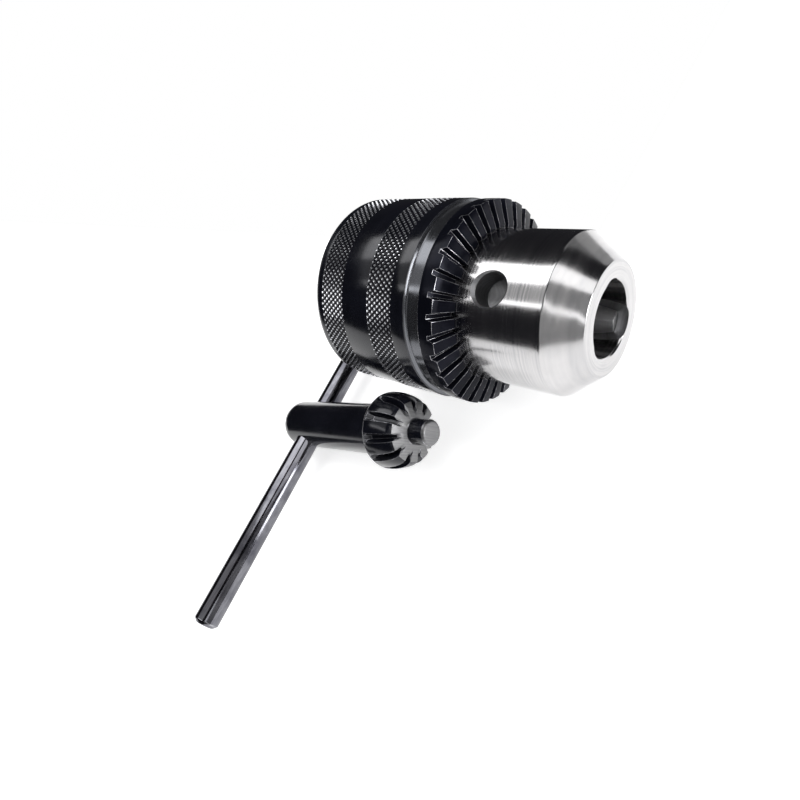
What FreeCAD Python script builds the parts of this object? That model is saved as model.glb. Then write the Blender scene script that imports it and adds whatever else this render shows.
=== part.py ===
import FreeCAD, Part
import os

import Sketcher

# A keyed three-jaw drill chuck lying on its side, with its own key beside it.
# Frame: millimetres, +X along the chuck's axis towards the nose, +Z up, origin at the centre of
# the mouth of the threaded spindle socket in the back face. The floor is one sleeve radius down.

doc = FreeCAD.newDocument("drill_chuck")
dims = doc.addObject("Spreadsheet::Sheet", "dims")

DRIVING = [
    # chuck body: nose and cone, tool bore, spindle socket, groove for the nut, tail inside the sleeve
    ("body_length", 60.0), ("nose_radius", 15.45), ("cone_start", 54.1), ("front_face_radius", 10.6),
    ("bore_radius", 7.0), ("bore_floor", 29.0), ("bore_lip_start", 59.65), ("bore_lip_radius", 7.35),
    ("screw_hole_radius", 3.2), ("socket_radius", 5.7), ("socket_depth", 16.0),
    ("groove_start", 27.45), ("groove_end", 34.15), ("groove_radius", 13.0),
    ("tail_radius", 18.95), ("tail_edge", 0.8), ("tail_edge_radius", 18.15), ("neck_start", 6.4),
    ("neck_radius", 17.2),
    # three radial holes that take the key's pilot
    ("key_hole_radius", 3.25), ("key_hole_station", 42.95), ("key_hole_floor", 10.2),
    ("key_hole_length", 8.0), ("key_hole_angle", 117.7),
    # jaws: inclined round bars with a ground gripping edge, and teeth behind for the nut
    ("jaw_slope", 15.0), ("jaw_back", 9.5), ("jaw_back_rise", 17.13), ("jaw_length", 58.0),
    ("jaw_radius", 3.9), ("jaw_bore_radius", 3.96), ("jaw_bore_back", 7.6), ("jaw_bore_rise", 17.64),
    ("jaw_bore_length", 62.0), ("jaw_angle", 66.0), ("jaw_tip", 57.6), ("grip_radius", 6.5),
    ("jaw_back_limit", 18.75), ("tooth_pitch", 1.75), ("tooth_gap", 0.9), ("tooth_root", 3.1),
    ("first_tooth", 1.2), ("notch_depth", 4.0), ("notch_width", 12.0), ("flank_lean", 30.0),
    ("flank_back", 5.0), ("flank_length", 75.0), ("flank_depth", 30.0), ("flank_width", 40.0),
    # sleeve: two knurled bands between plain ones, and a waist before the toothed ring
    ("sleeve_radius", 21.25), ("band_low", 21.13), ("sleeve_back", 1.4), ("sleeve_guide", 19.02),
    ("guide_end", 5.6), ("sleeve_relief", 19.35), ("margin_radius", 20.6), ("margin_end", 2.5),
    ("band_one_start", 4.1), ("band_one_end", 10.5), ("band_two_start", 18.2), ("band_two_end", 24.7),
    ("waist_start", 28.3), ("waist_end", 28.6), ("waist_radius", 20.3), ("sleeve_front", 31.4),
    ("nut_shelf", 27.3),
    # split nut, pressed into the sleeve and the ring
    ("nut_start", 27.6), ("nut_end", 34.0), ("nut_radius", 18.0), ("nut_bore_back", 16.55),
    ("nut_bore_front", 14.85),
    # toothed ring, whose gaps are cut between an outer and an inner section
    ("ring_bore", 15.53), ("ring_radius", 21.0), ("ring_back_radius", 20.65), ("ring_back_edge", 31.75),
    ("ring_corner", 35.3), ("ring_front", 36.65), ("tooth_bore", 16.2), ("ring_teeth", 32.0),
    ("gap_angle", 3.05), ("gap_mouth", 37.5), ("rim_plane", 21.6), ("rim_floor", 33.73),
    ("rim_floor_half", 0.42), ("rim_mouth_half", 1.8), ("hub_plane", 15.0), ("hub_floor", 35.59),
    ("hub_floor_half", 0.3), ("hub_mouth_half", 0.85),
    # key: shank, pinion and pilot are one forging, and the handle is pressed through the shank
    ("shank_radius", 6.1), ("shank_tail", 9.0), ("shank_shoulder", 7.2), ("shank_tail_radius", 4.3),
    ("pinion_back", 28.3), ("pinion_heel", 30.2), ("pinion_radius", 8.9), ("pinion_middle", 33.6),
    ("pinion_middle_radius", 8.6), ("pinion_toe", 36.5), ("pinion_toe_radius", 7.7),
    ("pinion_face", 38.0), ("pinion_face_radius", 5.6), ("pilot_radius", 2.9), ("pilot_shoulder", 42.3),
    ("pilot_end", 42.9), ("pilot_tip_radius", 2.3), ("pinion_teeth", 11.0), ("pinion_gap_angle", 10.45),
    ("heel_plane", 31.0), ("heel_floor", 7.6), ("heel_floor_half", 0.6), ("heel_mouth_half", 1.85),
    ("toe_plane", 39.0), ("toe_floor", 4.5), ("toe_floor_half", 0.4), ("toe_mouth_half", 1.7),
    ("pinion_gap_mouth", 10.5),
    ("handle_radius", 2.95), ("handle_half", 55.2), ("handle_shoulder", 54.4), ("handle_tip_radius", 2.15),
    # where the key lies on the floor: crossing point of shank and handle, its turn and its tilt
    ("key_x", -11.47), ("key_y", -33.27), ("key_z", -18.3), ("key_turn", 7.38), ("key_tilt", -11.0),
]

for row, (alias, value) in enumerate(DRIVING, start=1):
    dims.set("A%d" % row, alias)
    dims.set("B%d" % row, str(value))
    dims.setAlias("B%d" % row, alias)
doc.recompute()

X_AXIS = FreeCAD.Vector(1, 0, 0)
Y_AXIS = FreeCAD.Vector(0, 1, 0)
Z_AXIS = FreeCAD.Vector(0, 0, 1)
CENTRE = FreeCAD.Vector(0, 0, 0)
JAWS = 3
TOOTH_COUNT = 14
FULL_TURN = 360.0
HALF_TURN = 180.0
QUARTER_TURN = 90.0
LEAST_LEFT = 0.3
PATTERN_TOLERANCE = 0.02
PIECES = []


def size(alias):
    """The value of a cell. A leading minus gives its negative, and None stands for zero."""
    if alias is None:
        return 0.0
    if alias.startswith("-"):
        return -float(dims.get(alias[1:]))
    return float(dims.get(alias))


def cell(alias):
    """The same as an expression."""
    return "-dims." + alias[1:] if alias.startswith("-") else "dims." + alias


def turned(degrees):
    """A placement turned about the chuck's axis."""
    return FreeCAD.Placement(CENTRE, FreeCAD.Rotation(X_AXIS, degrees))


def new_body(name):
    body = doc.addObject("PartDesign::Body", name)
    body.Label = name
    return body


def origin_item(body, role):
    """An origin plane or axis of a body, found by its role."""
    for item in body.Origin.OriginFeatures:
        if item.Role == role:
            return item
    raise ValueError(role)


def outline(body, name, corners, role="XY_Plane", offset=None):
    """A closed sketch. A corner is a pair of cell names, where None means that it lies on the axis."""
    sketch = body.newObject("Sketcher::SketchObject", name)
    sketch.AttachmentSupport = [(origin_item(body, role), "")]
    sketch.MapMode = "FlatFace"
    if offset is not None:
        sketch.AttachmentOffset = offset
    points = [FreeCAD.Vector(size(along), size(across), 0) for along, across in corners]
    count = len(points)
    for index in range(count):
        sketch.addGeometry(Part.LineSegment(points[index], points[(index + 1) % count]))
    for index, (along, across) in enumerate(corners):
        sketch.addConstraint(Sketcher.Constraint("Coincident", index, 2, (index + 1) % count, 1))
        for kind, alias, value, axis in (
            ("DistanceX", along, points[index].x, -2),
            ("DistanceY", across, points[index].y, -1),
        ):
            if alias is None:
                sketch.addConstraint(Sketcher.Constraint("PointOnObject", index, 1, axis))
            else:
                number = sketch.addConstraint(Sketcher.Constraint(kind, -1, 1, index, 1, value))
                sketch.setExpression("Constraints[%d]" % number, cell(alias))
    return sketch


def revolve(body, name, corners, angle=FULL_TURN):
    """Turn an outline in the XY plane about the X axis."""
    feature = body.newObject("PartDesign::Revolution", name)
    feature.Profile = outline(body, name + "_outline", corners)
    feature.ReferenceAxis = (feature.Profile[0], ["H_Axis"])
    feature.Angle = angle
    doc.recompute()
    return feature


def tooth_gaps(body, name, sections, count_alias):
    """Cut one tapered gap between two sections, then repeat it about the X axis."""
    before = body.Shape.Volume
    gap = body.newObject("PartDesign::SubtractiveLoft", name + "_gap")
    gap.Profile = sections[0]
    gap.Sections = [sections[1]]
    gap.Ruled = True
    doc.recompute()
    one = before - body.Shape.Volume
    pattern = body.newObject("PartDesign::PolarPattern", name + "_gaps")
    pattern.Originals = [gap]
    pattern.Axis = (origin_item(body, "X_Axis"), [""])
    pattern.Angle = FULL_TURN
    pattern.Occurrences = int(size(count_alias))
    pattern.setExpression("Occurrences", cell(count_alias))
    body.Tip = pattern
    doc.recompute()
    cut = before - body.Shape.Volume
    if one <= 0 or abs(cut - one * size(count_alias)) > PATTERN_TOLERANCE * cut:
        raise ValueError("%s: one gap %.3f, all gaps %.3f" % (name, one, cut))


def rod(name, radius, length, placement):
    """A round bar primitive. It runs along its own Z axis."""
    bar = doc.addObject("Part::Cylinder", name)
    bar.setExpression("Radius", cell(radius))
    bar.setExpression("Height", cell(length))
    bar.Placement = placement
    return bar


def block(name, lengths, placement):
    """A box primitive, used as a cutter. Its length, width and height are given as cells."""
    box = doc.addObject("Part::Box", name)
    for side, alias in zip(("Length", "Width", "Height"), lengths):
        box.setExpression(side, cell(alias))
    box.Placement = placement
    return box


def cut_away(name, base, tools):
    """Cut joined tools out of a base, and make sure that they took something but left a good part."""
    joined = doc.addObject("Part::MultiFuse", name + "_tools")
    joined.Shapes = tools
    result = doc.addObject("Part::Cut", name)
    result.Base = base
    result.Tool = joined
    result.Label = name
    doc.recompute()
    if not LEAST_LEFT * base.Shape.Volume < result.Shape.Volume < base.Shape.Volume:
        raise ValueError(name + " was not cut")
    return result


def along_jaw(station, rise):
    """A placement whose Z axis runs forward along a jaw, in the plane of X and Y."""
    tilt = FreeCAD.Rotation(Z_AXIS, -size("jaw_slope")).multiply(FreeCAD.Rotation(Y_AXIS, QUARTER_TURN))
    return FreeCAD.Placement(FreeCAD.Vector(size(station), size(rise), 0), tilt)


# ---- chuck body: one steel turning, bored on the slope for the jaws and radially for the key
turning = new_body("body_turning")
revolve(turning, "body_form", [
    (None, "socket_radius"), (None, "tail_edge_radius"),
    ("tail_edge", "tail_radius"), ("neck_start", "tail_radius"), ("neck_start", "neck_radius"),
    ("groove_start", "neck_radius"), ("groove_start", "groove_radius"),
    ("groove_end", "groove_radius"), ("groove_end", "nose_radius"), ("cone_start", "nose_radius"),
    ("body_length", "front_face_radius"), ("body_length", "bore_lip_radius"),
    ("bore_lip_start", "bore_radius"), ("bore_floor", "bore_radius"),
    ("bore_floor", "screw_hole_radius"), ("socket_depth", "screw_hole_radius"),
    ("socket_depth", "socket_radius"),
])
bores = []
for number in range(JAWS):
    share = FULL_TURN / JAWS * number
    lean = turned(size("jaw_angle") + share).multiply(along_jaw("jaw_bore_back", "jaw_bore_rise"))
    bores.append(rod("jaw_bore_%d" % (number + 1), "jaw_bore_radius", "jaw_bore_length", lean))
    foot = FreeCAD.Vector(size("key_hole_station"), 0, size("key_hole_floor"))
    outward = turned(size("key_hole_angle") - QUARTER_TURN + share).multiply(
        FreeCAD.Placement(foot, FreeCAD.Rotation()))
    bores.append(rod("key_hole_%d" % (number + 1), "key_hole_radius", "key_hole_length", outward))
PIECES.append(cut_away("chuck_body", turning, bores))

# ---- jaws: the bar, its square front, its gripping edge, its back corner and its teeth
for number in range(JAWS):
    name = "jaw_%d" % (number + 1)
    bar = rod(name + "_bar", "jaw_radius", "jaw_length", along_jaw("jaw_back", "jaw_back_rise"))
    hull = rod(name + "_hull", "jaw_back_limit", "jaw_tip",
               FreeCAD.Placement(CENTRE, FreeCAD.Rotation(Y_AXIS, QUARTER_TURN)))
    blank = doc.addObject("Part::Common", name + "_blank")
    blank.Base = bar
    blank.Tool = hull
    cutters = []
    flank_corner = FreeCAD.Vector(-size("flank_back"), -size("flank_depth"), -size("flank_width") / 2)
    below = FreeCAD.Placement(flank_corner, FreeCAD.Rotation())
    for side, lean in (("left", size("flank_lean")), ("right", -size("flank_lean"))):
        grip = FreeCAD.Placement(FreeCAD.Vector(0, size("grip_radius"), 0), FreeCAD.Rotation(X_AXIS, lean))
        cutters.append(block(name + "_flank_" + side, ("flank_length", "flank_depth", "flank_width"),
                             grip.multiply(below)))
    back = along_jaw("jaw_back", "jaw_back_rise").multiply(
        FreeCAD.Placement(CENTRE, FreeCAD.Rotation(Z_AXIS, HALF_TURN)))
    for tooth in range(TOOTH_COUNT):
        corner = FreeCAD.Vector(
            size("tooth_root"), -size("notch_width") / 2, size("first_tooth") + tooth * size("tooth_pitch"))
        cutters.append(block("%s_notch_%d" % (name, tooth + 1), ("notch_depth", "notch_width", "tooth_gap"),
                             back.multiply(FreeCAD.Placement(corner, FreeCAD.Rotation()))))
    jaw = cut_away(name, blank, cutters)
    jaw.Placement = turned(size("jaw_angle") + FULL_TURN / JAWS * number)
    PIECES.append(jaw)

# ---- knurled sleeve: a tube with raised bands, a guide bore behind and a press bore in front
sleeve = new_body("knurled_sleeve")
revolve(sleeve, "sleeve_form", [
    ("sleeve_back", "sleeve_guide"), ("sleeve_back", "margin_radius"), ("margin_end", "band_low"),
    ("band_one_start", "band_low"), ("band_one_start", "sleeve_radius"),
    ("band_one_end", "sleeve_radius"), ("band_one_end", "band_low"), ("band_two_start", "band_low"),
    ("band_two_start", "sleeve_radius"), ("band_two_end", "sleeve_radius"),
    ("band_two_end", "band_low"), ("waist_start", "band_low"), ("waist_end", "waist_radius"),
    ("sleeve_front", "waist_radius"), ("sleeve_front", "nut_radius"), ("nut_shelf", "nut_radius"),
    ("nut_shelf", "sleeve_relief"), ("guide_end", "sleeve_relief"), ("guide_end", "sleeve_guide"),
])
PIECES.append(sleeve)

# ---- split nut: two half rings that close round the body's groove
for name, half_turn in (("nut_half_upper", 0.0), ("nut_half_lower", HALF_TURN)):
    half = new_body(name)
    revolve(half, name + "_form", [
        ("nut_start", "nut_bore_back"), ("nut_start", "nut_radius"), ("nut_end", "nut_radius"),
        ("nut_end", "nut_bore_front"),
    ], HALF_TURN)
    half.Placement = turned(half_turn)
    PIECES.append(half)

# ---- toothed ring: a bevelled ring with tapered gaps, seated on the front of the nut
ring = new_body("toothed_ring")
revolve(ring, "ring_form", [
    ("sleeve_front", "nut_radius"), ("sleeve_front", "ring_back_radius"),
    ("ring_back_edge", "ring_radius"), ("ring_corner", "ring_radius"), ("ring_front", "tooth_bore"),
    ("ring_front", "ring_bore"), ("nut_end", "ring_bore"), ("nut_end", "nut_radius"),
])
ring_sections = []
for place in ("rim", "hub"):
    section_at = turned(size("gap_angle")).multiply(
        FreeCAD.Placement(FreeCAD.Vector(0, 0, size(place + "_plane")), FreeCAD.Rotation()))
    ring_sections.append(outline(ring, "ring_%s_section" % place, [
        (place + "_floor", place + "_floor_half"), ("gap_mouth", place + "_mouth_half"),
        ("gap_mouth", "-%s_mouth_half" % place), (place + "_floor", "-%s_floor_half" % place),
    ], offset=section_at))
tooth_gaps(ring, "ring", ring_sections, "ring_teeth")
PIECES.append(ring)

# ---- key: shank with a cross hole, bevel pinion and pilot in one forging
key_place = FreeCAD.Placement(
    FreeCAD.Vector(size("key_x"), size("key_y"), size("key_z")),
    FreeCAD.Rotation(Z_AXIS, size("key_turn")).multiply(FreeCAD.Rotation(Y_AXIS, size("key_tilt"))))
key = new_body("key_shank")
revolve(key, "key_form", [
    ("-shank_tail", None), ("-shank_tail", "shank_tail_radius"), ("-shank_shoulder", "shank_radius"),
    ("pinion_back", "shank_radius"), ("pinion_heel", "pinion_radius"),
    ("pinion_middle", "pinion_middle_radius"), ("pinion_toe", "pinion_toe_radius"),
    ("pinion_face", "pinion_face_radius"), ("pinion_face", "pilot_radius"),
    ("pilot_shoulder", "pilot_radius"), ("pilot_end", "pilot_tip_radius"), ("pilot_end", None),
])
key_sections = []
for place in ("heel", "toe"):
    section_at = FreeCAD.Placement(
        FreeCAD.Vector(0, 0, size(place + "_plane")), FreeCAD.Rotation(Z_AXIS, size("pinion_gap_angle")))
    key_sections.append(outline(key, "pinion_%s_section" % place, [
        (place + "_floor_half", place + "_floor"), (place + "_mouth_half", "pinion_gap_mouth"),
        ("-%s_mouth_half" % place, "pinion_gap_mouth"), ("-%s_floor_half" % place, place + "_floor"),
    ], "YZ_Plane", section_at))
tooth_gaps(key, "pinion", key_sections, "pinion_teeth")
eye = key.newObject("Sketcher::SketchObject", "eye_outline")
eye.AttachmentSupport = [(origin_item(key, "XZ_Plane"), "")]
eye.MapMode = "FlatFace"
eye.addGeometry(Part.Circle(CENTRE, Z_AXIS, size("handle_radius")))
eye.addConstraint(Sketcher.Constraint("Coincident", 0, 3, -1, 1))
eye.addConstraint(Sketcher.Constraint("Radius", 0, size("handle_radius")))
eye.setExpression("Constraints[1]", cell("handle_radius"))
solid_volume = key.Shape.Volume
key_eye = key.newObject("PartDesign::Pocket", "key_eye")
key_eye.Profile = eye
key_eye.Type = "ThroughAll"
key_eye.Midplane = True
doc.recompute()
if not key.Shape.Volume < solid_volume:
    raise ValueError("the eye in the key's shank was not cut")
key.Placement = key_place
PIECES.append(key)

# ---- key handle: a plain bar with bevelled ends, along the key's own Y axis
handle = new_body("key_handle")
revolve(handle, "handle_form", [
    ("-handle_half", None), ("-handle_half", "handle_tip_radius"), ("-handle_shoulder", "handle_radius"),
    ("handle_shoulder", "handle_radius"), ("handle_half", "handle_tip_radius"), ("handle_half", None),
])
handle.Placement = key_place.multiply(FreeCAD.Placement(CENTRE, FreeCAD.Rotation(Z_AXIS, QUARTER_TURN)))
PIECES.append(handle)

doc.recompute()
for item in doc.Objects:
    if "Invalid" in item.State or "Error" in item.State:
        raise ValueError(item.Name + " did not compute")
for piece in PIECES:
    if piece.Shape.isNull() or not piece.Shape.isValid() or len(piece.Shape.Solids) != 1:
        raise ValueError(piece.Label + " is not one valid solid")

os.makedirs("parts", exist_ok=True)
for piece in PIECES:
    piece.Shape.exportStep("parts/%s.step" % piece.Label)
    box = piece.Shape.BoundBox
    print("%-16s volume %9.1f  x %6.2f..%6.2f  y %6.2f..%6.2f  z %6.2f..%6.2f" % (
        piece.Label, piece.Shape.Volume, box.XMin, box.XMax, box.YMin, box.YMax, box.ZMin, box.ZMax))
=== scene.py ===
import math

import bmesh
import bpy
from mathutils import Matrix, Vector


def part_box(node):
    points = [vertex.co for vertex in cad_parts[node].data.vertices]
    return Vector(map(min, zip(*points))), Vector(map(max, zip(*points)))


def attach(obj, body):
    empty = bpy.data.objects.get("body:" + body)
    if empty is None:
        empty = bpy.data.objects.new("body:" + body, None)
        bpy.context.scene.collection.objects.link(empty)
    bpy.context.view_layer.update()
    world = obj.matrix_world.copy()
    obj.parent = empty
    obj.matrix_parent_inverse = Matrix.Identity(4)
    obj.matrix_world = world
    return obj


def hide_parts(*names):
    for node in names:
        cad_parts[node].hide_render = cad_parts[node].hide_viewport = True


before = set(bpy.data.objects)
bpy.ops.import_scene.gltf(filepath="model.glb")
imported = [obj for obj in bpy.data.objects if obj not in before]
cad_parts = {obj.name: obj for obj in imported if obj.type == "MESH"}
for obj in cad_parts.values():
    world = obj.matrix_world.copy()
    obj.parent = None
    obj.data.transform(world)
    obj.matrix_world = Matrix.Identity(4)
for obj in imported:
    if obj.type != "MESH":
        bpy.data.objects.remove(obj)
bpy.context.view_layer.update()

# ======== chuck body ========
# One bright steel turning that carries everything else: a tail in the sleeve's back, a groove for the nut, and a
# nose with a ground cylinder and cone. The tool bore, the three sloping jaw bores and the three radial key holes
# are drilled in it, and its back end screws onto the drill's spindle.
MM = 0.001
TAIL_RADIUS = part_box("chuck_body")[1].y
TAIL_END = 6.4 * MM
BARREL_RADIUS = 17.2 * MM
GROOVE_START = 27.45 * MM
GROOVE_END = 34.15 * MM
GROOVE_RADIUS = 13.0 * MM
NOSE_RADIUS = 15.45 * MM
NOSE_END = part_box("chuck_body")[1].x
CONE_START = NOSE_END - 5.9 * MM
FACE_RADIUS = 10.6 * MM
BORE_RADIUS = 7.0 * MM
BORE_FLOOR = 29.0 * MM
BORE_BREAK = 0.35 * MM
SCREW_HOLE_RADIUS = 3.2 * MM
SOCKET_WALL = 6.35 * MM
SOCKET_DEPTH = 16.0 * MM
SOCKET_MOUTH_RADIUS = 7.1 * MM
SOCKET_MOUTH_DEPTH = 0.7 * MM
JAW_SLOPE = math.radians(15.0)
JAW_AXIS_AT_NOSE = 3.6 * MM
JAW_PHASE = math.radians(66.0)
JAW_BORE_RADIUS = 3.96 * MM
JAW_BORE_SPAN = (-54.2 * MM, 8 * MM)
KEY_HOLE_PHASE = math.radians(117.7)
KEY_HOLE_STATION = 42.95 * MM
KEY_HOLE_RADIUS = 3.25 * MM
KEY_HOLE_TIP = 8.9 * MM
KEY_HOLE_FLOOR = 10.2 * MM
KEY_HOLE_CHAMFER = 14.75 * MM
KEY_HOLE_MOUTH = 16.2 * MM
KEY_HOLE_FLARE = 1.3 * MM
BODY_EASE = 0.25 * MM
BODY_RING_SPACING = 1.6 * MM
BODY_SIDES = 240
DRILLED_SIDES = 120
EASE_STEPS = 4
ON_AXIS = 1e-5


def eased(corners, radius):
    """Corners (along, out), or (along, out, ease in mm), each rounded to a small arc. Gives (along, out, wear)."""
    points = []
    for index, corner in enumerate(corners):
        here = Vector(corner[:2])
        ease = corner[2] * MM if len(corner) > 2 else radius
        before = Vector(corners[index - 1][:2]) - here
        after = Vector(corners[(index + 1) % len(corners)][:2]) - here
        reach = min(ease, before.length * 0.45, after.length * 0.45)
        if reach < 1e-6 or here.y <= 0:
            points.append((here.x, here.y, 0.0))
            continue
        first = here + before.normalized() * reach
        last = here + after.normalized() * reach
        for step in range(EASE_STEPS + 1):
            share = step / EASE_STEPS
            place = first * (1 - share) ** 2 + here * 2 * share * (1 - share) + last * share ** 2
            points.append((place.x, place.y, math.sin(math.pi * share)))
    return points


def spun(along, out, angle):
    """A point at a distance from the X axis, turned about it."""
    return along, out * math.cos(angle), out * math.sin(angle)


def keep_mesh(name, shape):
    """Turn a working shape into a mesh, and drop the shape."""
    mesh = bpy.data.meshes.new(name)
    shape.to_mesh(mesh)
    shape.free()
    return mesh


def put(name, data):
    """Put a new object in the scene."""
    thing = bpy.data.objects.new(name, data)
    bpy.context.scene.collection.objects.link(thing)
    return thing


def lathe(name, points, around, longest=None, open_ends=False):
    """Turn (along, out, wear) points about the X axis. A long stretch is divided where longest says so."""
    profile = []
    count = len(points)
    for index in range(count - 1 if open_ends else count):
        here = points[index]
        following = points[(index + 1) % count]
        span = math.hypot(following[0] - here[0], following[1] - here[1])
        parts = max(1, math.ceil(span / longest)) if longest else 1
        for part in range(parts):
            share = part / parts
            profile.append(tuple(a + (b - a) * share for a, b in zip(here, following)))
    if open_ends:
        profile.append(points[-1])
    shape = bmesh.new()
    wear = shape.verts.layers.float.new("wear")
    rows = []
    for along, out, worn in profile:
        row = []
        for step in range(around if out > 1e-7 else 1):
            vert = shape.verts.new(spun(along, out, 2 * math.pi * step / around))
            vert[wear] = worn
            row.append(vert)
        rows.append(row)
    for low, high in zip(rows, rows[1:] if open_ends else rows[1:] + rows[:1]):
        if len(low) == 1 and len(high) == 1:
            continue
        for step in range(around):
            follow = (step + 1) % around
            face = [low[step % len(low)], low[follow % len(low)], high[follow % len(high)], high[step % len(high)]]
            shape.faces.new(list(dict.fromkeys(face)))
    bmesh.ops.recalc_face_normals(shape, faces=shape.faces)
    return put(name, keep_mesh(name, shape))


def evaluated_mesh(piece):
    """A piece's mesh with its modifiers applied, which are then removed."""
    bpy.context.view_layer.update()
    done = bpy.data.meshes.new_from_object(piece.evaluated_get(bpy.context.evaluated_depsgraph_get()))
    piece.modifiers.clear()
    return done


def carve(piece, cutters):
    """Cut other shapes out of a piece, and drop them. Each cut face keeps its cutter's material."""
    for cutter in cutters:
        step = piece.modifiers.new("cut", "BOOLEAN")
        step.operation = "DIFFERENCE"
        step.solver = "EXACT"
        step.material_mode = "TRANSFER"
        step.object = cutter
    piece.data = evaluated_mesh(piece)
    for cutter in cutters:
        bpy.data.objects.remove(cutter)


def smooth(piece, corner=28.0, turned=True):
    """Smooth shading with crisp corners. Turned faces get the exact normals of a turning about X."""
    mesh = piece.data
    mesh.shade_smooth()
    mesh.set_sharp_from_angle(angle=math.radians(corner))
    if not turned:
        return
    normals = [Vector(item.vector) for item in mesh.corner_normals]
    for face in mesh.polygons:
        middle = Vector((0, face.center.y, face.center.z))
        if middle.length < ON_AXIS:
            continue
        out = middle.normalized()
        sideways = face.normal.dot(Vector((0, -out.z, out.y)))
        rise = face.normal.dot(out)
        if abs(sideways) > 0.02 or abs(rise) < 1e-3:
            continue
        for index in face.loop_indices:
            place = mesh.vertices[mesh.loops[index].vertex_index].co
            spoke = Vector((0, place.y, place.z))
            if spoke.length < ON_AXIS:
                continue
            own = normals[index]
            spoke = spoke.normalized() * math.copysign(math.hypot(own.y, own.z), rise)
            normals[index] = Vector((own.x, spoke.y, spoke.z)).normalized()
    mesh.normals_split_custom_set(normals)


def feed(tree, socket, value):
    """Link a socket to another one, or set it to a plain value."""
    if isinstance(value, bpy.types.NodeSocket):
        tree.links.new(value, socket)
    else:
        socket.default_value = value


def add(tree, kind, **values):
    """Add a node. Small letters name its settings, i0 and so on its inputs by number, capitals its inputs by name."""
    node = tree.nodes.new(kind)
    for key, value in values.items():
        if key[0] == "i" and key[1:].isdigit():
            feed(tree, node.inputs[int(key[1:])], value)
        elif key[0].islower():
            setattr(node, key, value)
        else:
            feed(tree, node.inputs[key.replace("_", " ")], value)
    return node


def calc(tree, operation, first, second=0.0, clamp=False):
    """The result of a sum."""
    return add(tree, "ShaderNodeMath", operation=operation, use_clamp=clamp, i0=first, i1=second).outputs[0]


def ranged(tree, value, low, high, to_low=0.0, to_high=1.0):
    """A value mapped from one range to another, and held inside it."""
    return add(tree, "ShaderNodeMapRange", Value=value, From_Min=low, From_Max=high,
               To_Min=to_low, To_Max=to_high).outputs[0]


def off_axis(tree, split):
    """How far a place, split into its parts, is from the X axis."""
    return calc(tree, "SQRT", calc(tree, "ADD", calc(tree, "POWER", split.outputs[1], 2.0),
                                   calc(tree, "POWER", split.outputs[2], 2.0)))


def node_group(name, kind, inputs, outputs):
    """An empty node group with its named sockets. Gives the tree, its inputs and its outputs."""
    tree = bpy.data.node_groups.new(name, kind)
    for way, sockets in (("INPUT", inputs), ("OUTPUT", outputs)):
        for label, socket_kind in sockets:
            tree.interface.new_socket(label, in_out=way, socket_type="NodeSocket" + socket_kind)
    return tree, tree.nodes.new("NodeGroupInput").outputs, tree.nodes.new("NodeGroupOutput").inputs


# Tool marks of a turning: fine rings about the X axis, one each pitch, with a few broader ones. They run along
# the axis on cylinders and outwards on faces, and each wanders a little round the turning.
lines, given, result = node_group("lathe_lines", "ShaderNodeTree", [("Position", "Vector"), ("Pitch", "Float")],
                                  [("Height", "Float"), ("Grain", "Float")])
split = add(lines, "ShaderNodeSeparateXYZ", i0=given["Position"])
path = calc(lines, "MULTIPLY", calc(lines, "ADD", split.outputs[0], off_axis(lines, split)),
            calc(lines, "DIVIDE", 1.0, given["Pitch"]))
drift = add(lines, "ShaderNodeVectorMath", operation="SCALE", i0=given["Position"], Scale=120.0)
wander = add(lines, "ShaderNodeTexNoise", noise_dimensions="3D", Vector=drift.outputs[0], Scale=1.0, Detail=2.0)
steps = add(lines, "ShaderNodeCombineXYZ", X=path, Y=calc(lines, "MULTIPLY", wander.outputs[0], 1.6))
fine = add(lines, "ShaderNodeTexNoise", noise_dimensions="2D", Vector=steps.outputs[0], Scale=1.0, Detail=3.0)
coarse = add(lines, "ShaderNodeTexNoise", noise_dimensions="2D", Vector=steps.outputs[0], Scale=0.17, Detail=2.0)
mixed = calc(lines, "ADD", calc(lines, "MULTIPLY", fine.outputs[0], 0.75),
             calc(lines, "MULTIPLY", coarse.outputs[0], 0.25))
feed(lines, result["Height"], mixed)
feed(lines, result["Grain"], mixed)

# Handling marks: three sets of short straight scratches, each at its own slant, and faint blotches.
SCRATCH_STRETCH = (2600.0, 90.0, 2600.0)
marks, given, result = node_group("handling_marks", "ShaderNodeTree", [("Position", "Vector"), ("Amount", "Float")],
                                  [("Scratch", "Float"), ("Blotch", "Float")])
scratches = 0.0
for slant, seed in ((0.4, 3.0), (1.7, 11.0), (2.6, 23.0)):
    bend = add(marks, "ShaderNodeMapping", vector_type="POINT", Vector=given["Position"],
               Location=(seed, seed * 0.7, -seed), Rotation=(slant, slant * 0.6, slant * 1.3), Scale=SCRATCH_STRETCH)
    streak = add(marks, "ShaderNodeTexNoise", Vector=bend.outputs[0], Scale=1.0, Detail=1.0)
    scratches = calc(marks, "MAXIMUM", scratches, ranged(marks, streak.outputs[0], 0.73, 0.77))
far = add(marks, "ShaderNodeVectorMath", operation="SCALE", i0=given["Position"], Scale=160.0)
cloud = add(marks, "ShaderNodeTexNoise", Vector=far.outputs[0], Scale=1.0, Detail=4.0, Roughness=0.6)
feed(marks, result["Scratch"], calc(marks, "MULTIPLY", scratches, given["Amount"]))
feed(marks, result["Blotch"], cloud.outputs[0])


def new_material(name, metallic, specular=0.5):
    """A material, its node tree, its Principled shader and the piece's own coordinates."""
    material = bpy.data.materials.new(name)
    material.use_nodes = True
    tree = material.node_tree
    shader = tree.nodes["Principled BSDF"]
    shader.inputs["Metallic"].default_value = metallic
    shader.inputs["Specular IOR Level"].default_value = specular
    return material, tree, shader, tree.nodes.new("ShaderNodeTexCoord").outputs["Object"]


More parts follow.
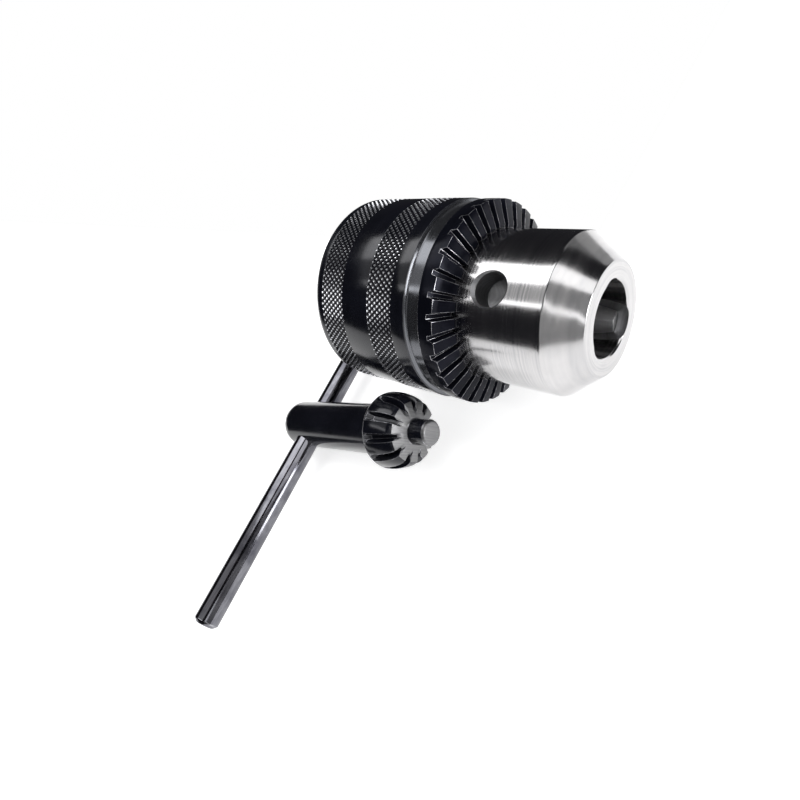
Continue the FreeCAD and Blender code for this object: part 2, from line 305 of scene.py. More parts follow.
def blended(tree, share, first, second):
    """A colour mixed from two."""
    return add(tree, "ShaderNodeMix", data_type="RGBA", i0=share, i6=first, i7=second).outputs[2]


def shaded(colour, share):
    """A colour made darker or lighter."""
    return tuple(part * share for part in colour[:3]) + (1.0,)


def bumped(tree, shader, height, scratches, depth):
    """Raise the surface by a height of up to a depth, and sink the scratches into it."""
    relief = add(tree, "ShaderNodeBump", Height=calc(tree, "SUBTRACT", height, scratches), Distance=depth)
    feed(tree, shader.inputs["Normal"], relief.outputs[0])


def turned_steel(name, bright, dark, rough_low, rough_high, pitch, depth):
    """Bright metal with rings of tool marks, scratches and faint stains."""
    material, tree, shader, place = new_material(name, 1.0)
    rings = add(tree, "ShaderNodeGroup", node_tree=lines, Position=place, Pitch=pitch)
    handled = add(tree, "ShaderNodeGroup", node_tree=marks, Position=place, Amount=0.25)
    stain = ranged(tree, handled.outputs["Blotch"], 0.35, 0.75, 0.0, 0.5)
    grain = ranged(tree, rings.outputs["Grain"], 0.3, 0.7)
    colour = blended(tree, stain, blended(tree, grain, dark, bright), shaded(bright, 0.8))
    rough = ranged(tree, calc(tree, "ADD", grain, stain), 0.0, 1.5, rough_low, rough_high)
    rough = calc(tree, "ADD", rough, calc(tree, "MULTIPLY", handled.outputs["Scratch"], 0.2), clamp=True)
    feed(tree, shader.inputs["Base Color"], colour)
    feed(tree, shader.inputs["Roughness"], rough)
    bumped(tree, shader, rings.outputs["Height"], handled.outputs["Scratch"], depth)
    return material


def jaw_frame(phase):
    """From a jaw's own frame, X along the jaw towards the nose, to the chuck's. Its origin is at the nose."""
    lean = Matrix.Translation((NOSE_END, JAW_AXIS_AT_NOSE, 0)) @ Matrix.Rotation(-JAW_SLOPE, 4, "Z")
    return Matrix.Rotation(phase, 4, "X") @ lean


def key_hole_frame(phase):
    """From a key hole's own frame, X outwards from the chuck's axis, to the chuck's."""
    outward = Matrix.Translation((KEY_HOLE_STATION, 0, 0)) @ Matrix.Rotation(math.pi / 2, 4, "Z")
    return Matrix.Rotation(phase, 4, "X") @ outward


nose_steel = turned_steel("nose_steel", (0.58, 0.57, 0.57, 1), (0.40, 0.40, 0.41, 1),
                          rough_low=0.11, rough_high=0.22, pitch=0.32 * MM, depth=0.0065 * MM)
drilled_steel = turned_steel("drilled_steel", (0.36, 0.36, 0.37, 1), (0.2, 0.2, 0.205, 1),
                             rough_low=0.35, rough_high=0.55, pitch=0.3 * MM, depth=0.006 * MM)


def drilled(name, points, place):
    """The solid that a drill takes out, turned from (along, out) points about X and set at a place."""
    cutter = lathe(name, [(along, out, 0) for along, out in points], DRILLED_SIDES, open_ends=True)
    cutter.data.transform(place)
    cutter.data.materials.append(drilled_steel)
    return cutter


body_corners = [
    (SOCKET_DEPTH, SCREW_HOLE_RADIUS), (SOCKET_DEPTH, SOCKET_WALL), (SOCKET_MOUTH_DEPTH, SOCKET_WALL),
    (0, SOCKET_MOUTH_RADIUS), (0, TAIL_RADIUS), (TAIL_END, TAIL_RADIUS), (TAIL_END, BARREL_RADIUS),
    (GROOVE_START, BARREL_RADIUS), (GROOVE_START, GROOVE_RADIUS), (GROOVE_END, GROOVE_RADIUS),
    (GROOVE_END, NOSE_RADIUS), (CONE_START, NOSE_RADIUS, 0.25), (NOSE_END, FACE_RADIUS, 0.2),
    (NOSE_END, BORE_RADIUS + BORE_BREAK, 0.1), (NOSE_END - BORE_BREAK, BORE_RADIUS, 0.1),
    (BORE_FLOOR, BORE_RADIUS), (BORE_FLOOR, SCREW_HOLE_RADIUS)]
chuck_body = lathe("chuck_body_turning", eased(body_corners, BODY_EASE), BODY_SIDES, longest=BODY_RING_SPACING)
chuck_body.data.materials.append(nose_steel)
body_cutters = []
for number in range(3):
    turn = 2 * math.pi * number / 3
    body_cutters.append(drilled("jaw_bore", [
        (JAW_BORE_SPAN[0], 0), (JAW_BORE_SPAN[0], JAW_BORE_RADIUS), (JAW_BORE_SPAN[1], JAW_BORE_RADIUS),
        (JAW_BORE_SPAN[1], 0)], jaw_frame(JAW_PHASE + turn)))
    body_cutters.append(drilled("key_hole", [
        (KEY_HOLE_TIP, 0), (KEY_HOLE_FLOOR, KEY_HOLE_RADIUS), (KEY_HOLE_CHAMFER, KEY_HOLE_RADIUS),
        (KEY_HOLE_MOUTH, KEY_HOLE_RADIUS + KEY_HOLE_FLARE), (KEY_HOLE_MOUTH, 0)],
        key_hole_frame(KEY_HOLE_PHASE + turn)))
carve(chuck_body, body_cutters)
smooth(chuck_body)
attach(chuck_body, "chuck_body")
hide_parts("chuck_body")

# ======== spindle thread ========
# The thread that the drill's spindle screws into, tapped in the steel of the body's back end. It is 1/2 inch with
# 20 turns to the inch, with flat crests and a sharp root.
THREAD_PITCH = 25.4 / 20 * MM
THREAD_CREST = 5.7 * MM
THREAD_ROOT = 6.3 * MM
THREAD_START = 0.75 * MM
THREAD_END = SOCKET_DEPTH - 0.6 * MM
THREAD_FADE_IN = 0.4 * MM
THREAD_FADE_OUT = 0.8 * MM
THREAD_BACK = SOCKET_WALL + 0.02 * MM
THREAD_SIDES = 72
THREAD_ROWS_A_TURN = 10


def thread_radius(along, angle):
    """The thread's inner surface at a place: flat crests with a V between them, faded out at both ends."""
    turn = (along / THREAD_PITCH - angle / (2 * math.pi)) % 1.0
    valley = max(0.0, 1.0 - abs(turn - 0.5) / 0.4)
    fade = min(1.0, (along - THREAD_START) / THREAD_FADE_IN, (THREAD_END - along) / THREAD_FADE_OUT)
    return THREAD_CREST + (THREAD_ROOT - THREAD_CREST) * min(1.0, valley * 1.15) * max(0.0, fade)


shape = bmesh.new()
thread_angles = [2 * math.pi * step / THREAD_SIDES for step in range(THREAD_SIDES)]
thread_rows = round((THREAD_END - THREAD_START) / THREAD_PITCH * THREAD_ROWS_A_TURN)
rows = []
for index in range(thread_rows + 1):
    along = THREAD_START + (THREAD_END - THREAD_START) * index / thread_rows
    rows.append([shape.verts.new(spun(along, thread_radius(along, angle), angle)) for angle in thread_angles])
for along in (THREAD_END, THREAD_START):
    rows.append([shape.verts.new(spun(along, THREAD_BACK, angle)) for angle in thread_angles])
for low, high in zip(rows, rows[1:] + rows[:1]):
    for step in range(THREAD_SIDES):
        follow = (step + 1) % THREAD_SIDES
        shape.faces.new((low[step], low[follow], high[follow], high[step]))
bmesh.ops.recalc_face_normals(shape, faces=shape.faces)
spindle_thread = put("spindle_thread", keep_mesh("spindle_thread", shape))
smooth(spindle_thread, 50, turned=False)
spindle_thread.data.materials.append(nose_steel)
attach(spindle_thread, "chuck_body")

# ======== jaws ========
# Three hardened steel bars, ground to a 120 degree gripping edge along the chuck's axis, squared off in front and
# cut with teeth behind, where the nut drives them. They slide in the body's sloping bores.
JAW_EDGE = 0.1 * MM
EDGE_PATCH_SCALE = 900.0
GRIND_STRETCH = (500.0, 6000.0, 6000.0)


def ease_edges(piece, width, corner):
    """Round a piece's edges that are sharper than a corner in degrees, and mark the new faces as worn."""
    shape = bmesh.new()
    shape.from_mesh(piece.data)
    bmesh.ops.remove_doubles(shape, verts=shape.verts, dist=2e-6)
    bmesh.ops.recalc_face_normals(shape, faces=shape.faces)
    worn = shape.faces.layers.float.new("worn_face")
    sharp = [edge for edge in shape.edges if len(edge.link_faces) == 2
             and edge.calc_face_angle(0.0) > math.radians(corner)]
    made = bmesh.ops.bevel(shape, geom=sharp, offset=width, segments=2, profile=0.6, affect="EDGES",
                           clamp_overlap=True)
    for face in made["faces"]:
        face[worn] = 1.0
    bmesh.ops.recalc_face_normals(shape, faces=shape.faces)
    shape.to_mesh(piece.data)
    shape.free()


def edge_bright(tree, place, colour, worn_colour, amount):
    """Mix a worn colour in along marked edges, broken up by a fine noise. Gives the colour and the mask."""
    turned_edge = add(tree, "ShaderNodeAttribute", attribute_name="wear").outputs["Fac"]
    cut_edge = add(tree, "ShaderNodeAttribute", attribute_name="worn_face").outputs["Fac"]
    patchy = add(tree, "ShaderNodeTexNoise", Vector=place, Scale=EDGE_PATCH_SCALE, Detail=3.0)
    mask = calc(tree, "MULTIPLY", calc(tree, "MAXIMUM", turned_edge, cut_edge),
                ranged(tree, patchy.outputs[0], 0.38, 0.6, 0.25, 1.0))
    mask = calc(tree, "MULTIPLY", mask, amount, clamp=True)
    return blended(tree, mask, colour, worn_colour), mask


jaw_steel, tree, shader, place = new_material("jaw_steel", 1.0)
ground = add(tree, "ShaderNodeMapping", Vector=place, Scale=GRIND_STRETCH)
grind = add(tree, "ShaderNodeTexNoise", Vector=ground.outputs[0], Scale=1.0, Detail=3.0)
handled = add(tree, "ShaderNodeGroup", node_tree=marks, Position=place, Amount=0.6)
grey = blended(tree, grind.outputs[0], (0.55, 0.55, 0.56, 1), (0.76, 0.76, 0.77, 1))
feed(tree, shader.inputs["Base Color"], edge_bright(tree, place, grey, (0.9, 0.9, 0.9, 1), 0.9)[0])
feed(tree, shader.inputs["Roughness"], ranged(tree, grind.outputs[0], 0.2, 0.8, 0.4, 0.58))
bumped(tree, shader, grind.outputs[0], handled.outputs["Scratch"], 0.004 * MM)

for number in (1, 2, 3):
    name = "jaw_%d" % number
    shape = bmesh.new()
    shape.from_mesh(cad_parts[name].data)
    shape.transform(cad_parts[name].matrix_world)
    bmesh.ops.remove_doubles(shape, verts=shape.verts, dist=1e-6)
    bmesh.ops.dissolve_limit(shape, angle_limit=math.radians(0.4), verts=shape.verts, edges=shape.edges)
    jaw = put(name + "_bar", keep_mesh(name + "_bar", shape))
    ease_edges(jaw, JAW_EDGE, 35)
    smooth(jaw, 30, turned=False)
    jaw.data.materials.append(jaw_steel)
    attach(jaw, name)
    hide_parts(name)

# ======== split nut ========
# A turned steel ring cracked into two halves, which close round the body's groove and drive the jaws' teeth. The
# sleeve and the toothed ring are pressed on it, so it is sealed inside them.
nut_steel = turned_steel("nut_steel", (0.42, 0.42, 0.43, 1), (0.3, 0.3, 0.31, 1),
                         rough_low=0.3, rough_high=0.5, pitch=0.3 * MM, depth=0.004 * MM)
for name in ("nut_half_upper", "nut_half_lower"):
    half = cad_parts[name]
    half.data.materials.clear()
    half.data.materials.append(nut_steel)

# ======== sleeve ========
# A steel tube turned with a rounded back margin, plain bands, a waist in front and a floor under each knurled
# band, then blackened by hot oxide. It is pressed on the nut from behind.
SLEEVE_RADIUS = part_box("knurled_sleeve")[1].z
SLEEVE_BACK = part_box("knurled_sleeve")[0].x
SLEEVE_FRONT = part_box("knurled_sleeve")[1].x
BACK_RIM_RADIUS = 20.55 * MM
BACK_MARGIN = 2.5 * MM
PLAIN_RADIUS = SLEEVE_RADIUS - 0.05 * MM
KNURL_FLOOR = SLEEVE_RADIUS - 0.42 * MM
KNURL_SHOULDER = 0.1 * MM
BANDS = ((4.1 * MM, 10.5 * MM), (18.2 * MM, 24.7 * MM))
WAIST_EDGE = 28.25 * MM
WAIST_START = 28.6 * MM
WAIST_RADIUS = 20.35 * MM
FRONT_EDGE = 31.15 * MM
FRONT_EDGE_RADIUS = 20.3 * MM
FRONT_RADIUS = 20.0 * MM
NUT_SEAT_RADIUS = 18.05 * MM
NUT_SEAT_BACK = 27.3 * MM
HOLLOW_RADIUS = 19.35 * MM
HOLLOW_BACK = 5.6 * MM
TAIL_SEAT_RADIUS = 19.02 * MM
SLEEVE_SIDES = 288
BLACK = (0.005, 0.0055, 0.009, 1)
RUBBED_TIP = (0.85, 0.86, 0.9, 1)
THIN_COAT = (0.16, 0.165, 0.18, 1)

sleeve_corners = [(SLEEVE_BACK, TAIL_SEAT_RADIUS, 0.2), (SLEEVE_BACK, BACK_RIM_RADIUS, 0.3),
                  (BACK_MARGIN, PLAIN_RADIUS, 0.5)]
for start, end in BANDS:
    sleeve_corners += [(start, PLAIN_RADIUS, 0.08), (start + KNURL_SHOULDER, KNURL_FLOOR, 0.02),
                       (end - KNURL_SHOULDER, KNURL_FLOOR, 0.02), (end, PLAIN_RADIUS, 0.08)]
sleeve_corners += [
    (WAIST_EDGE, PLAIN_RADIUS, 0.12), (WAIST_START, WAIST_RADIUS, 0.15), (FRONT_EDGE, FRONT_EDGE_RADIUS, 0.1),
    (SLEEVE_FRONT, FRONT_RADIUS, 0.05), (SLEEVE_FRONT, NUT_SEAT_RADIUS), (NUT_SEAT_BACK, NUT_SEAT_RADIUS),
    (NUT_SEAT_BACK, HOLLOW_RADIUS), (HOLLOW_BACK, HOLLOW_RADIUS), (HOLLOW_BACK, TAIL_SEAT_RADIUS)]
sleeve = lathe("sleeve_tube", eased(sleeve_corners, 0.1 * MM), SLEEVE_SIDES)
smooth(sleeve)


def blackened(name, wear=0.25, specular=0.5, oil=0.25, edge=(0.30, 0.31, 0.33, 1), knurl_tip=None, waist=None):
    """Hot blackened steel: near black with a cold tint, semi-gloss, grey where edges have rubbed bright. The metal
    also shows at a knurl's tips, given as a radius, and from a waist on, given along the axis."""
    material, tree, shader, place = new_material(name, 0.3, specular)
    rings = add(tree, "ShaderNodeGroup", node_tree=lines, Position=place, Pitch=0.35 * MM)
    handled = add(tree, "ShaderNodeGroup", node_tree=marks, Position=place, Amount=0.5)
    cloudy = ranged(tree, handled.outputs["Blotch"], 0.35, 0.7)
    colour = blended(tree, cloudy, BLACK, shaded(BLACK, 1.8))
    colour, mask = edge_bright(tree, place, colour, edge, wear)
    split = add(tree, "ShaderNodeSeparateXYZ", i0=place)
    if knurl_tip:
        rubbed = ranged(tree, off_axis(tree, split), knurl_tip - 0.20 * MM, knurl_tip - 0.04 * MM)
        colour = blended(tree, rubbed, colour, RUBBED_TIP)
        mask = calc(tree, "MAXIMUM", mask, rubbed)
    if waist:
        thin = ranged(tree, split.outputs[0], waist, waist + 0.1 * MM, 0.0, 0.8)
        colour = blended(tree, thin, colour, THIN_COAT)
        mask = calc(tree, "MAXIMUM", mask, thin)
    gloss = ranged(tree, calc(tree, "ADD", cloudy, rings.outputs["Grain"]), 0.4, 1.6, 0.11, 0.24)
    gloss = calc(tree, "ADD", gloss, calc(tree, "MULTIPLY", handled.outputs["Scratch"], 0.15), clamp=True)
    feed(tree, shader.inputs["Base Color"], colour)
    feed(tree, shader.inputs["Metallic"], ranged(tree, mask, 0.0, 1.0, 0.3, 1.0))
    feed(tree, shader.inputs["Roughness"], gloss)
    shader.inputs["Coat Weight"].default_value = oil
    shader.inputs["Coat Roughness"].default_value = 0.15
    shader.inputs["Coat IOR"].default_value = 1.45
    bumped(tree, shader, rings.outputs["Height"], handled.outputs["Scratch"], 0.002 * MM)
    return material


sleeve.data.materials.append(blackened("sleeve_black", waist=28.3 * MM))
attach(sleeve, "sleeve")
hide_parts("knurled_sleeve")

# ======== knurling ========
# Two bands of small pointed diamonds, raised in the sleeve's own steel by rolling crossing grooves into it and
# rubbed bright at their tips. Each row is shifted by half a diamond from the last one.
KNURL_AROUND = 108
KNURL_ROWS = 10
KNURL_SINK = 0.03 * MM
KNURL_RISE = SLEEVE_RADIUS - KNURL_FLOOR + 0.02 * MM
KNURL_TIP = 0.22


def grown(name, tree, start=None, **values):
    """Run a geometry tree, on a start mesh if it needs one, with its inputs set. Keeps a plain mesh of it."""
    piece = put(name, start or bpy.data.meshes.new(name))
    step = piece.modifiers.new("grow", "NODES")
    step.node_group = tree
    for item in tree.interface.items_tree:
        if item.in_out == "INPUT" and item.name in values:
            step[item.identifier] = values[item.name]
    piece.data = evaluated_mesh(piece)
    piece.data.name = name
    piece.data.materials.clear()
    piece.data.materials.append(values["Finish"])
    piece.data.polygons.foreach_set("material_index", [0] * len(piece.data.polygons))
    return piece


def finished(tree, placed, finish, weld=None):
    """Make copies real, weld them where they touch if asked to, and give them their material."""
    real = add(tree, "GeometryNodeRealizeInstances", Geometry=placed.outputs[0])
    if weld:
        real = add(tree, "GeometryNodeMergeByDistance", Geometry=real.outputs[0], Distance=weld)
    return add(tree, "GeometryNodeSetMaterial", Geometry=real.outputs[0], Material=finish).outputs[0]


knurl, given, result = node_group("knurl_band", "GeometryNodeTree", [
    ("Around", "Int"), ("Rows", "Int"), ("Start", "Float"), ("Step", "Float"), ("Floor", "Float"),
    ("Height", "Float"), ("Tip", "Float"), ("Finish", "Material")], [("Geometry", "Geometry")])
index = knurl.nodes.new("GeometryNodeInputIndex").outputs[0]
row = calc(knurl, "FLOOR", calc(knurl, "DIVIDE", calc(knurl, "ADD", index, 0.5), given["Around"]))
column = calc(knurl, "SUBTRACT", index, calc(knurl, "MULTIPLY", row, given["Around"]))
shift = calc(knurl, "MULTIPLY", calc(knurl, "MODULO", row, 2.0), 0.5)
turn = calc(knurl, "MULTIPLY", calc(knurl, "DIVIDE", calc(knurl, "ADD", column, shift), given["Around"]),
            2 * math.pi)
along = calc(knurl, "ADD", given["Start"], calc(knurl, "MULTIPLY", row, given["Step"]))
spot = add(knurl, "ShaderNodeCombineXYZ", X=along,
           Y=calc(knurl, "MULTIPLY", given["Floor"], calc(knurl, "COSINE", turn)),
           Z=calc(knurl, "MULTIPLY", given["Floor"], calc(knurl, "SINE", turn)))
points = add(knurl, "GeometryNodePoints", Count=calc(knurl, "MULTIPLY", given["Around"], given["Rows"]),
             Position=spot.outputs[0])
diamond = add(knurl, "GeometryNodeMeshCone", Vertices=4, Radius_Top=given["Tip"], Radius_Bottom=1.0,
              Depth=given["Height"])
half_width = calc(knurl, "DIVIDE", calc(knurl, "MULTIPLY", given["Floor"], math.pi), given["Around"])
size = add(knurl, "ShaderNodeCombineXYZ", X=given["Step"], Y=half_width, Z=1.0)
lean = add(knurl, "ShaderNodeCombineXYZ", X=calc(knurl, "SUBTRACT", turn, math.pi / 2))
placed = add(knurl, "GeometryNodeInstanceOnPoints", Points=points.outputs[0], Instance=diamond.outputs["Mesh"],
             Rotation=lean.outputs[0], Scale=size.outputs[0])
feed(knurl, result["Geometry"], finished(knurl, placed, given["Finish"]))

knurl_black = blackened("knurl_black", oil=0.1, knurl_tip=SLEEVE_RADIUS)
for number, (start, end) in enumerate(BANDS, 1):
    band = grown("knurl_band_%d" % number, knurl, Around=KNURL_AROUND, Rows=KNURL_ROWS, Start=start,
                 Step=(end - start) / (KNURL_ROWS - 1), Floor=KNURL_FLOOR - KNURL_SINK, Height=KNURL_RISE,
                 Tip=KNURL_TIP, Finish=knurl_black)
    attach(band, "sleeve")

# ======== toothed ring ========
# A steel bevel gear with 32 tapered gaps cut in its front and a plain rim behind them, blackened and rubbed on
# its edges. It is pressed on the nut in front of the sleeve, and the key's pinion turns it.
RING_TEETH = 32
RING_GAP_PHASE = math.radians(3.05)
RING_EYE = 15.53
RING_SEAT = 18.05
RING_OUTER = 21.0
RING_COUNTERBORE = 34.0
RING_BACK = 31.45
RING_BACK_CHAMFER = 0.35
TIP_AT_START = 36.65
FLOOR_AT_START = 35.3
BEVEL_START = 16.2
BEVEL_SLOPE = 0.28125
WELD = 0.002 * MM

# A tooth runs from the middle of one gap to the middle of the next. The tree turns it round the axis.
copies, given, result = node_group("tooth_copies", "GeometryNodeTree", [
    ("Tooth", "Geometry"), ("Count", "Int"), ("Phase", "Float"), ("Finish", "Material")],
    [("Geometry", "Geometry")])
spots = add(copies, "GeometryNodePoints", Count=given["Count"])
index = copies.nodes.new("GeometryNodeInputIndex").outputs[0]
angle = calc(copies, "ADD", given["Phase"],
             calc(copies, "MULTIPLY", index, calc(copies, "DIVIDE", 2 * math.pi, given["Count"])))
facing = add(copies, "ShaderNodeCombineXYZ", X=angle)
placed = add(copies, "GeometryNodeInstanceOnPoints", Points=spots.outputs[0], Instance=given["Tooth"],
             Rotation=facing.outputs[0])
feed(copies, result["Geometry"], finished(copies, placed, given["Finish"], weld=WELD))


def tooth_sector(name, stations, count, closed):
    """One tooth of a gear about X. Each station is (floor along, floor out, tip along, tip out, gap's share of the
    pitch at its floor, at its tip), with places in mm. A plain station has floor and tip alike."""
    pitch = 2 * math.pi / count
    shape = bmesh.new()
    rows = []
    for floor_along, floor_out, tip_along, tip_out, floor_share, tip_share in stations:
        floor_half = floor_share / 2
        tip_half = tip_share / 2
        flank = 0.5 * (floor_half + tip_half) - 0.02 * (tip_share > floor_share)
        columns = [(0.0, 0.0), (floor_half, 0.0), (flank, 0.5), (tip_half, 1.0), (0.5 - (0.5 - tip_half) * 0.4, 1.0)]
        columns += [(1.0 - share, rise) for share, rise in reversed(columns)]
        rows.append([shape.verts.new(spun((floor_along + (tip_along - floor_along) * rise) * MM,
                                          (floor_out + (tip_out - floor_out) * rise) * MM, share * pitch))
                     for share, rise in columns])
    for low, high in zip(rows, rows[1:] + rows[:1] if closed else rows[1:]):
        for step in range(len(low) - 1):
            shape.faces.new((low[step], low[step + 1], high[step + 1], high[step]))
    bmesh.ops.remove_doubles(shape, verts=shape.verts, dist=1e-8)
    bmesh.ops.dissolve_degenerate(shape, edges=shape.edges, dist=1e-8)
    return keep_mesh(name, shape)


def plain_station(along, out, floor_share=0.2, tip_share=0.5):
    """A station without a gap."""
    return along, out, along, out, floor_share, tip_share


ring_stations = [plain_station(RING_COUNTERBORE, RING_SEAT, 0.26, 0.40),
                 plain_station(RING_COUNTERBORE, RING_EYE, 0.26, 0.40)]
for out in (RING_EYE, BEVEL_START, 17.8, 19.4, RING_OUTER):
    floor = FLOOR_AT_START - (out - BEVEL_START) * BEVEL_SLOPE
    tip = TIP_AT_START - max(0.0, out - BEVEL_START) * BEVEL_SLOPE
    ring_stations.append((floor, out, tip, out, 0.22, 0.40))
ring_stations += [plain_station(RING_BACK + RING_BACK_CHAMFER, RING_OUTER, 0.22, 0.40),
                  plain_station(RING_BACK, RING_OUTER - RING_BACK_CHAMFER, 0.22, 0.40),
                  plain_station(RING_BACK, RING_SEAT, 0.26, 0.40)]
ring_black = blackened("ring_black", wear=0.9, specular=0.06, oil=0.0, edge=(0.5, 0.5, 0.53, 1))
ring = grown("toothed_ring_cut", copies, tooth_sector("ring_tooth", ring_stations, RING_TEETH, closed=True),
             Count=RING_TEETH, Phase=RING_GAP_PHASE, Finish=ring_black)
ease_edges(ring, 0.05 * MM, 20)
smooth(ring, 30)
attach(ring, "sleeve")
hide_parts("toothed_ring")

# ======== key shank ========
# A loose tool, one steel forging with a round back, a domed pinion head and a pilot that fits the body's key
# holes. Its 11 tapered gaps are milled in front of a plain heel rim, it is blackened all over, and the pinion's
# front and the pilot's end are faced to bare steel.
PINION_TEETH = 11
PINION_GAP_PHASE = math.radians(100.45)
KEY_YAW = math.radians(7.38)
KEY_PITCH = math.radians(-11.0)
KEY_PLACE = (Matrix.Translation((-11.47 * MM, -33.27 * MM, -18.3 * MM))
             @ Matrix.Rotation(KEY_YAW, 4, "Z") @ Matrix.Rotation(KEY_PITCH, 4, "Y"))
KEY_BACK = -8.98
BACK_ROUND = 4.0
BACK_FLAT = 2.2
BACK_STEPS = 6
SHANK = 6.1
PILOT = 2.9
PILOT_START = 38.2
PILOT_END = 42.9

key_stations = [plain_station(KEY_BACK, 0)]
for step in range(BACK_STEPS + 1):
    turn = math.pi / 2 * step / BACK_STEPS
    key_stations.append(plain_station(KEY_BACK + BACK_ROUND * (1 - math.cos(turn)),
                                      BACK_FLAT + (SHANK - BACK_FLAT) * math.sin(turn)))
for along in (-4.7, -2.0, 8.0, 18.0, 27.6, 28.0):
    key_stations.append(plain_station(along, SHANK))
for along, out in ((28.35, 6.25), (28.9, 7.5), (29.5, 8.3), (30.1, 8.75), (30.6, 8.85)):
    key_stations.append(plain_station(along, out))
for along, floor, tip in ((31.0, 8.0, 8.84), (31.6, 7.35, 8.8), (33.2, 6.7, 8.62), (34.8, 6.1, 8.25),
                          (36.0, 5.65, 7.8), (36.8, 5.3, 7.3), (37.35, 5.1, 6.7)):
    key_stations.append((along, floor, along, tip, 0.22, 0.42))
key_stations.append((37.9, 4.2, 37.75, 5.2, 0.3, 0.55))
for along, out in ((38.05, 3.1), (PILOT_START, PILOT), (42.35, PILOT), (42.75, 2.6), (PILOT_END, 2.3),
                   (PILOT_END, 0)):
    key_stations.append(plain_station(along, out))

key_black = blackened("key_black", wear=0.8, specular=0.3, oil=0.5, edge=(0.45, 0.45, 0.48, 1))
machined_grey = turned_steel("machined_grey", (0.24, 0.24, 0.24, 1), (0.15, 0.15, 0.16, 1),
                             rough_low=0.35, rough_high=0.5, pitch=0.3 * MM, depth=0.004 * MM)
key = grown("key_forging", copies, tooth_sector("key_tooth", key_stations, PINION_TEETH, closed=False),
            Count=PINION_TEETH, Phase=PINION_GAP_PHASE, Finish=key_black)
ease_edges(key, 0.06 * MM, 24)
smooth(key, 32)
key.data.materials.append(machined_grey)
for face in key.data.polygons:
    on_front = face.normal.x > 0.75 and 37.3 * MM < face.center.x < 38.15 * MM
    on_pilot_end = face.center.x > 42.4 * MM
    if on_front or on_pilot_end:
        face.material_index = 1
key.data.transform(KEY_PLACE)
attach(key, "key")
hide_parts("key_shank")

# ======== key handle ========
# A drawn steel bar with bevelled ends, darkened and polished by use. It is pressed through the shank's eye, with
# as much of it on one side as on the other.
HANDLE_RADIUS = 2.95 * MM
HANDLE_END_RADIUS = 2.15 * MM
HANDLE_HALF = 55.2 * MM
HANDLE_BEVEL = 0.8 * MM
HANDLE_SIDES = 72
DRAWN_STRETCH = (2400.0, 35.0, 2400.0)

handle = lathe("handle_bar", eased([
    (-HANDLE_HALF, 0), (-HANDLE_HALF, HANDLE_END_RADIUS, 0.2), (-HANDLE_HALF + HANDLE_BEVEL, HANDLE_RADIUS, 0.25),
    (HANDLE_HALF - HANDLE_BEVEL, HANDLE_RADIUS, 0.25), (HANDLE_HALF, HANDLE_END_RADIUS, 0.2), (HANDLE_HALF, 0)],
    0.2 * MM), HANDLE_SIDES, open_ends=True)
smooth(handle)
handle.data.transform(KEY_PLACE @ Matrix.Rotation(math.pi / 2, 4, "Z"))
handle_steel, tree, shader, place = new_material("handle_steel", 1.0)
drawn = add(tree, "ShaderNodeMapping", Vector=place, Rotation=(0, 0, -KEY_YAW), Scale=DRAWN_STRETCH)
streaks = add(tree, "ShaderNodeTexNoise", Vector=drawn.outputs[0], Scale=1.0, Detail=4.0, Roughness=0.65)
handled = add(tree, "ShaderNodeGroup", node_tree=marks, Position=place, Amount=0.4)
grey = blended(tree, ranged(tree, streaks.outputs[0], 0.3, 0.7), (0.12, 0.12, 0.135, 1), (0.22, 0.22, 0.24, 1))
grey = blended(tree, ranged(tree, handled.outputs["Blotch"], 0.45, 0.7), grey, (0.08, 0.08, 0.095, 1))
feed(tree, shader.inputs["Base Color"], edge_bright(tree, place, grey, (0.5, 0.5, 0.52, 1), 0.8)[0])
feed(tree, shader.inputs["Roughness"], ranged(tree, streaks.outputs[0], 0.25, 0.75, 0.09, 0.17))
bumped(tree, shader, streaks.outputs[0], handled.outputs["Scratch"], 0.0005 * MM)
handle.data.materials.append(handle_steel)
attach(handle, "key")
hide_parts("key_handle")

# ======== studio ========
# The chuck and its key lie on a sheet of white paper that glows a little, in a dark room. The sheet is cut away on
# the far side, so that the chuck's back mirrors the dark. Soft lights hang overhead, in front and at the side.
FLOOR_LEVEL = min(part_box("knurled_sleeve")[0].z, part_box("key_shank")[0].z)
SHEET = ((-0.9, -0.9), (0.9, -0.9), (0.9, 0.3), (0.032, 0.3), (0.032, 0.042), (-0.9, 0.042))
SHEET_GLOW = 0.68
NOSE_AIM = (0.05, 0, 0)
SOFT_LIGHTS = (  # name, width, depth, place, what it faces, brightness
    ("overhead_main", 0.75, 0.32, (-0.24, 0.12, 0.62), (-0.24, 0.12, 0), 3.0),
    ("overhead_middle", 0.75, 0.30, (-0.24, -0.19, 0.62), (-0.24, -0.19, 0), 0.55),
    ("overhead_strip", 0.75, 0.09, (-0.24, -0.39, 0.62), (-0.24, -0.39, 0), 3.0),
    ("front_main", 0.20, 0.45, (0.42, 0.17, 0.40), NOSE_AIM, 2.0),
    ("front_low", 0.6, 0.6, (0.50, -0.22, 0.26), NOSE_AIM, 0.35),
    ("front_strip", 0.05, 0.45, (0.45, -0.18, 0.30), NOSE_AIM, 2.0),
    ("side_panel", 0.40, 0.36, (0.09, 0.5, -0.04), NOSE_AIM, 0.4),
    ("side_upper", 0.40, 0.26, (0.09, 0.5, 0.27), NOSE_AIM, 0.2),
    ("bore_light", 0.09, 0.09, (0.26, 0.02, 0.03), NOSE_AIM, 9.0))
FILL_POWER = 4.0
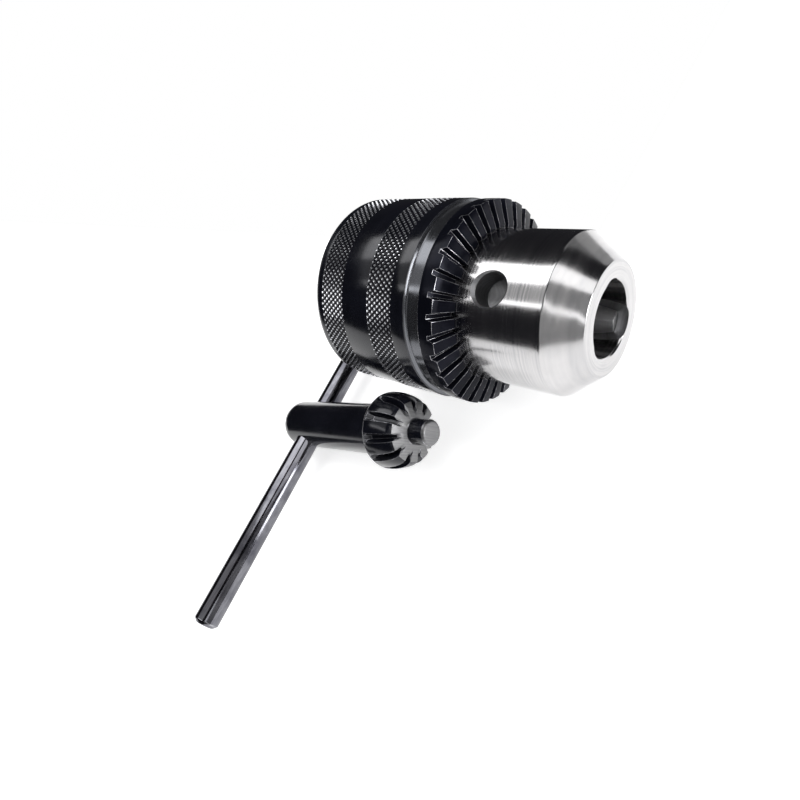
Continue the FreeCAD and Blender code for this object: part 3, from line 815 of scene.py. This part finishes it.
DARK_ROOM = (0.018, 0.018, 0.021, 1)
WHITE = (1.0, 1.0, 1.0, 1)

floor_mesh = bpy.data.meshes.new("floor")
floor_mesh.from_pydata([(x, y, FLOOR_LEVEL) for x, y in SHEET], [], [tuple(range(len(SHEET)))])
floor = put("floor", floor_mesh)
paper, tree, shader, place = new_material("floor_paper", 0.0, 0.2)
shader.inputs["Base Color"].default_value = (0.93, 0.93, 0.93, 1)
shader.inputs["Roughness"].default_value = 0.9
shader.inputs["Emission Color"].default_value = WHITE
shader.inputs["Emission Strength"].default_value = SHEET_GLOW
floor_mesh.materials.append(paper)


def soft_light(name, width, depth, place, target, power):
    """An area light that faces a target."""
    lamp = bpy.data.lights.new(name, "AREA")
    lamp.shape = "RECTANGLE"
    lamp.size = width
    lamp.size_y = depth
    lamp.energy = power
    holder = put(name, lamp)
    aim = (Vector(target) - Vector(place)).to_track_quat("-Z", "Y")
    holder.matrix_world = Matrix.Translation(place) @ aim.to_matrix().to_4x4()
    return holder


for name, width, depth, place, target, brightness in SOFT_LIGHTS:
    soft_light(name, width, depth, place, target, brightness * math.pi * width * depth)
# a high fill that only evens the paper, and isn't seen in reflections
soft_light("fill_high", 1.6, 1.6, (0.1, -0.1, 1.3), (0, 0, 0), FILL_POWER).visible_glossy = False

world = bpy.data.worlds.new("studio_air")
bpy.context.scene.world = world
world.use_nodes = True
air = world.node_tree
seen_directly = air.nodes.new("ShaderNodeLightPath").outputs["Is Camera Ray"]
feed(air, air.nodes["Background"].inputs["Color"], blended(air, seen_directly, DARK_ROOM, WHITE))

camera_data = bpy.data.cameras.new("camera")
camera_data.lens = 24.62
camera_data.sensor_width = 36.0
camera_data.clip_start = 0.005
camera = put("camera", camera_data)
camera.matrix_world = Matrix((
    (0.726, -0.223, 0.651, 0.0995),
    (0.513, 0.806, -0.296, -0.0602),
    (-0.458, 0.549, 0.699, 0.0783),
    (0, 0, 0, 1)))
bpy.context.scene.camera = camera
bpy.context.scene.view_settings.view_transform = "Standard"
